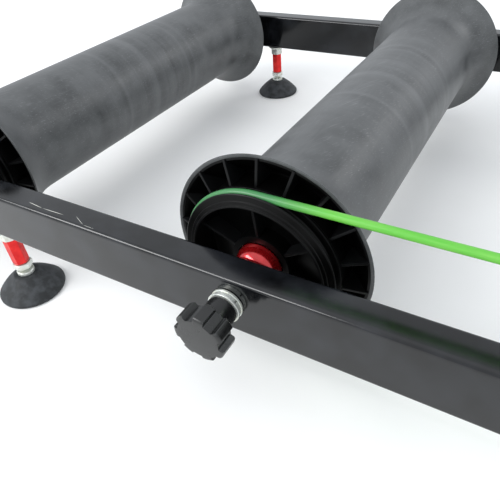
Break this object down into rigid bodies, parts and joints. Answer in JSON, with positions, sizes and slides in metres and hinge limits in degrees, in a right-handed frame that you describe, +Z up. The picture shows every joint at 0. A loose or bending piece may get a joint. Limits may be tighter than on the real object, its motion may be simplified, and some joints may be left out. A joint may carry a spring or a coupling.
{
  "type": "bicycle roller trainer",
  "caption": "Roller trainer: flanged drums on axles between two side rails, a round belt joining the middle and front drums, clamp knobs and screw feet.",
  "frame": {"origin": "on the floor, at the middle of the rails' length and of the width between them", "axes": "+X towards the single front drum, along the rails; +Y away from the belt side, along the axles; +Z up"},
  "size_m": [1.3066, 0.5332, 0.154],
  "materials": {
    "black_paint": "glossy black stove enamel on steel tube, lightly scratched",
    "black_plastic": "moulded black plastic, satin",
    "drum_skin": "dark grey matt skin with faint scuffs",
    "red_anodised": "bright red anodised, glossy",
    "zinc": "bright zinc plate",
    "bearing_steel": "ground bearing steel",
    "green_belt": "bright green polyurethane, satin",
    "rubber": "dark grey moulded rubber, matt"
  },
  "bodies": {
    "frame": {"rail_near": "black_paint", "rail_plug_near_rear": "black_plastic", "rail_plug_near_front": "black_plastic", "rail_far": "black_paint", "rail_plug_far_rear": "black_plastic", "rail_plug_far_front": "black_plastic", "rear_axle": "zinc", "rear_hub_spacer_near": "red_anodised", "rear_axle_nut_near": "zinc", "rear_hub_spacer_far": "red_anodised", "rear_axle_nut_far": "zinc", "middle_axle": "zinc", "middle_hub_spacer_near": "red_anodised", "middle_hub_spacer_far": "red_anodised", "front_axle": "zinc", "front_hub_spacer_near": "red_anodised", "front_axle_nut_near": "zinc", "front_hub_spacer_far": "red_anodised", "front_axle_nut_far": "zinc", "drive_belt": "green_belt", "foot_bolt_near_rear": "zinc", "foot_coupler_near_rear": "red_anodised", "foot_lock_nut_near_rear": "zinc", "foot_bolt_near_front": "zinc", "foot_coupler_near_front": "red_anodised", "foot_lock_nut_near_front": "zinc", "foot_bolt_far_rear": "zinc", "foot_coupler_far_rear": "red_anodised", "foot_lock_nut_far_rear": "zinc", "foot_bolt_far_front": "zinc", "foot_coupler_far_front": "red_anodised", "foot_lock_nut_far_front": "zinc"},
    "rear_drum": {"rear_drum_shell": "drum_skin", "rear_end_cap_near": "black_plastic", "rear_bearing_near": "bearing_steel", "rear_end_cap_far": "black_plastic", "rear_bearing_far": "bearing_steel"},
    "middle_drum": {"middle_drum_shell": "drum_skin", "middle_end_cap_near": "black_plastic", "middle_bearing_near": "bearing_steel", "middle_end_cap_far": "black_plastic", "middle_bearing_far": "bearing_steel"},
    "front_drum": {"front_drum_shell": "drum_skin", "front_end_cap_near": "black_plastic", "front_bearing_near": "bearing_steel", "front_end_cap_far": "black_plastic", "front_bearing_far": "bearing_steel"},
    "knob_carrier_near": {"knob_washers_near": "zinc"},
    "knob_near": {"clamp_knob_near": "black_plastic"},
    "pad_near_rear": {"foot_pad_near_rear": "rubber"},
    "stud_near_rear": {"foot_stud_near_rear": "zinc"},
    "pad_near_front": {"foot_pad_near_front": "rubber"},
    "stud_near_front": {"foot_stud_near_front": "zinc"},
    "knob_carrier_far": {"knob_washers_far": "zinc"},
    "knob_far": {"clamp_knob_far": "black_plastic"},
    "pad_far_rear": {"foot_pad_far_rear": "rubber"},
    "stud_far_rear": {"foot_stud_far_rear": "zinc"},
    "pad_far_front": {"foot_pad_far_front": "rubber"},
    "stud_far_front": {"foot_stud_far_front": "zinc"}
  },
  "joints": [
    {"name": "rear_drum_spin", "type": "hinge", "parent": "frame", "child": "rear_drum", "pos_m": [-0.575, 0, 0.0874], "axis": [0, 1, 0], "continuous": true},
    {"name": "middle_drum_spin", "type": "hinge", "parent": "frame", "child": "middle_drum", "pos_m": [-0.295, 0, 0.0874], "axis": [0, 1, 0], "continuous": true},
    {"name": "front_drum_spin", "type": "hinge", "parent": "frame", "child": "front_drum", "pos_m": [0.575, 0, 0.0874], "axis": [0, 1, 0], "continuous": true},
    {"name": "knob_near_travel", "type": "slide", "parent": "frame", "child": "knob_carrier_near", "axis": [0, -1, 0], "range_m": [0, 0.0045]},
    {"name": "knob_near_turn", "type": "hinge", "parent": "knob_carrier_near", "child": "knob_near", "pos_m": [-0.295, -0.25, 0.0874], "axis": [0, -1, 0], "range_deg": [0, 1081]},
    {"name": "knob_far_travel", "type": "slide", "parent": "frame", "child": "knob_carrier_far", "axis": [0, 1, 0], "range_m": [0, 0.0045]},
    {"name": "knob_far_turn", "type": "hinge", "parent": "knob_carrier_far", "child": "knob_far", "pos_m": [-0.295, 0.25, 0.0874], "axis": [0, 1, 0], "range_deg": [0, 1081]},
    {"name": "foot_near_rear_height", "type": "slide", "parent": "frame", "child": "pad_near_rear", "axis": [0, 0, 1], "range_m": [-0.01, 0]},
    {"name": "foot_near_rear_turn", "type": "hinge", "parent": "pad_near_rear", "child": "stud_near_rear", "pos_m": [-0.51, -0.227, 0.03], "axis": [0, 0, 1], "range_deg": [-2881, 0]},
    {"name": "foot_near_front_height", "type": "slide", "parent": "frame", "child": "pad_near_front", "axis": [0, 0, 1], "range_m": [-0.01, 0]},
    {"name": "foot_near_front_turn", "type": "hinge", "parent": "pad_near_front", "child": "stud_near_front", "pos_m": [0.505, -0.227, 0.03], "axis": [0, 0, 1], "range_deg": [-2881, 0]},
    {"name": "foot_far_rear_height", "type": "slide", "parent": "frame", "child": "pad_far_rear", "axis": [0, 0, 1], "range_m": [-0.01, 0]},
    {"name": "foot_far_rear_turn", "type": "hinge", "parent": "pad_far_rear", "child": "stud_far_rear", "pos_m": [-0.51, 0.227, 0.03], "axis": [0, 0, 1], "range_deg": [-2881, 0]},
    {"name": "foot_far_front_height", "type": "slide", "parent": "frame", "child": "pad_far_front", "axis": [0, 0, 1], "range_m": [-0.01, 0]},
    {"name": "foot_far_front_turn", "type": "hinge", "parent": "pad_far_front", "child": "stud_far_front", "pos_m": [0.505, 0.227, 0.03], "axis": [0, 0, 1], "range_deg": [-2881, 0]}
  ],
  "couplings": [
    {"joint": "front_drum_spin", "follows": "middle_drum_spin", "ratio": 1},
    {"joint": "knob_near_turn", "follows": "knob_near_travel", "rad_per_m": 4188.8},
    {"joint": "knob_far_turn", "follows": "knob_far_travel", "rad_per_m": 4188.8},
    {"joint": "foot_near_rear_turn", "follows": "foot_near_rear_height", "rad_per_m": 5026.5},
    {"joint": "foot_near_front_turn", "follows": "foot_near_front_height", "rad_per_m": 5026.5},
    {"joint": "foot_far_rear_turn", "follows": "foot_far_rear_height", "rad_per_m": 5026.5},
    {"joint": "foot_far_front_turn", "follows": "foot_far_front_height", "rad_per_m": 5026.5}
  ]
}
